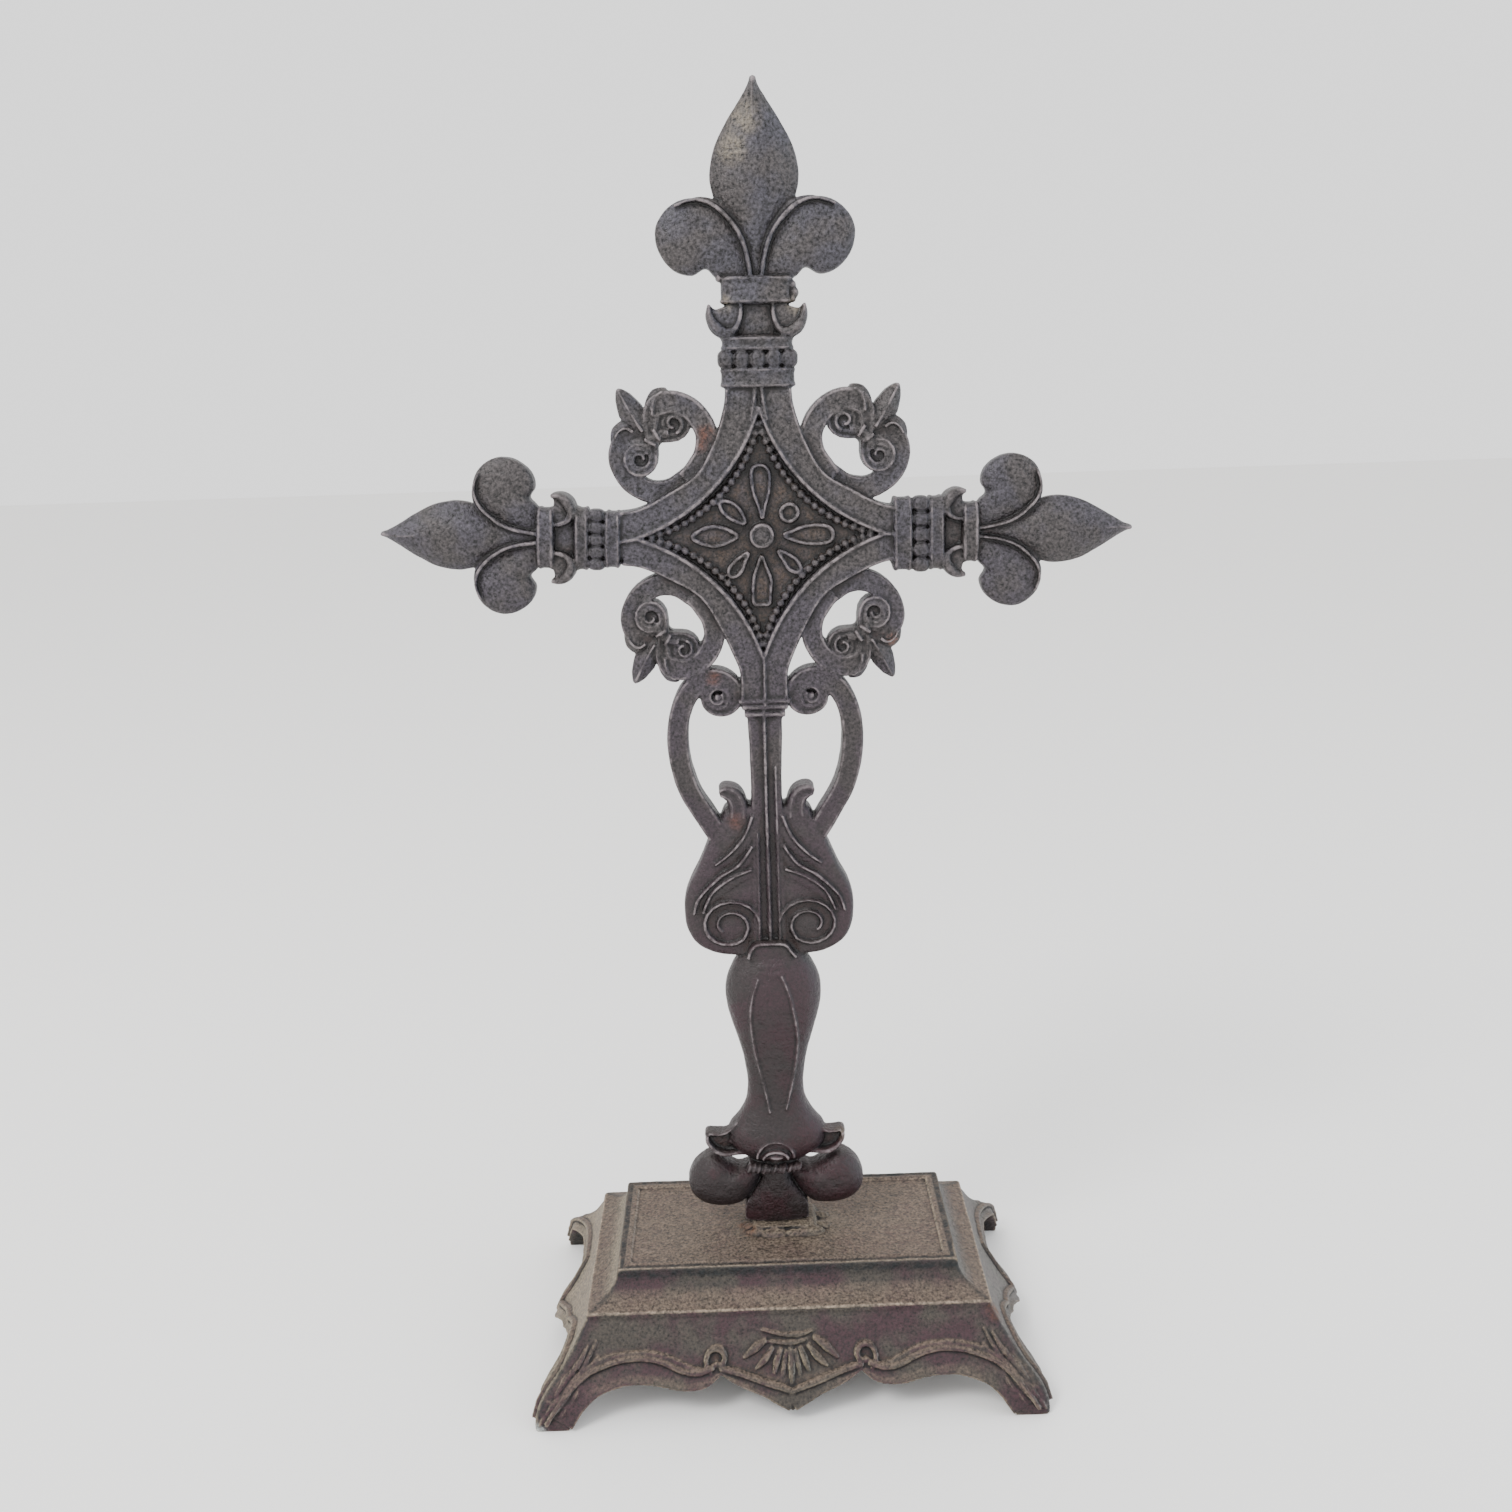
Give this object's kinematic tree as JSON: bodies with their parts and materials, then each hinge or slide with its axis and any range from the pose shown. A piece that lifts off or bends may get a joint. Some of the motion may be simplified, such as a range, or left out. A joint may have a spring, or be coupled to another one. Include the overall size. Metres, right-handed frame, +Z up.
{
  "type": "standing cross",
  "caption": "Ornate cast iron cross with fleur ends, corner scrolls and a lyre stem, standing on a hollow footed base with scalloped aprons.",
  "frame": {"origin": "middle of the overall footprint at the level of the feet", "axes": "+Z up; the carved front of the cross faces -Y; +X to the right seen from the front"},
  "size_m": [0.2284, 0.1094, 0.406],
  "materials": {
    "dark_cast_iron": "dark worn patina with rust brown in the hollows",
    "dusty_cast_iron": "dusty brown patina, worn along the edges"
  },
  "bodies": {
    "root": {"cross": "dark_cast_iron", "base": "dusty_cast_iron"}
  },
  "joints": []
}
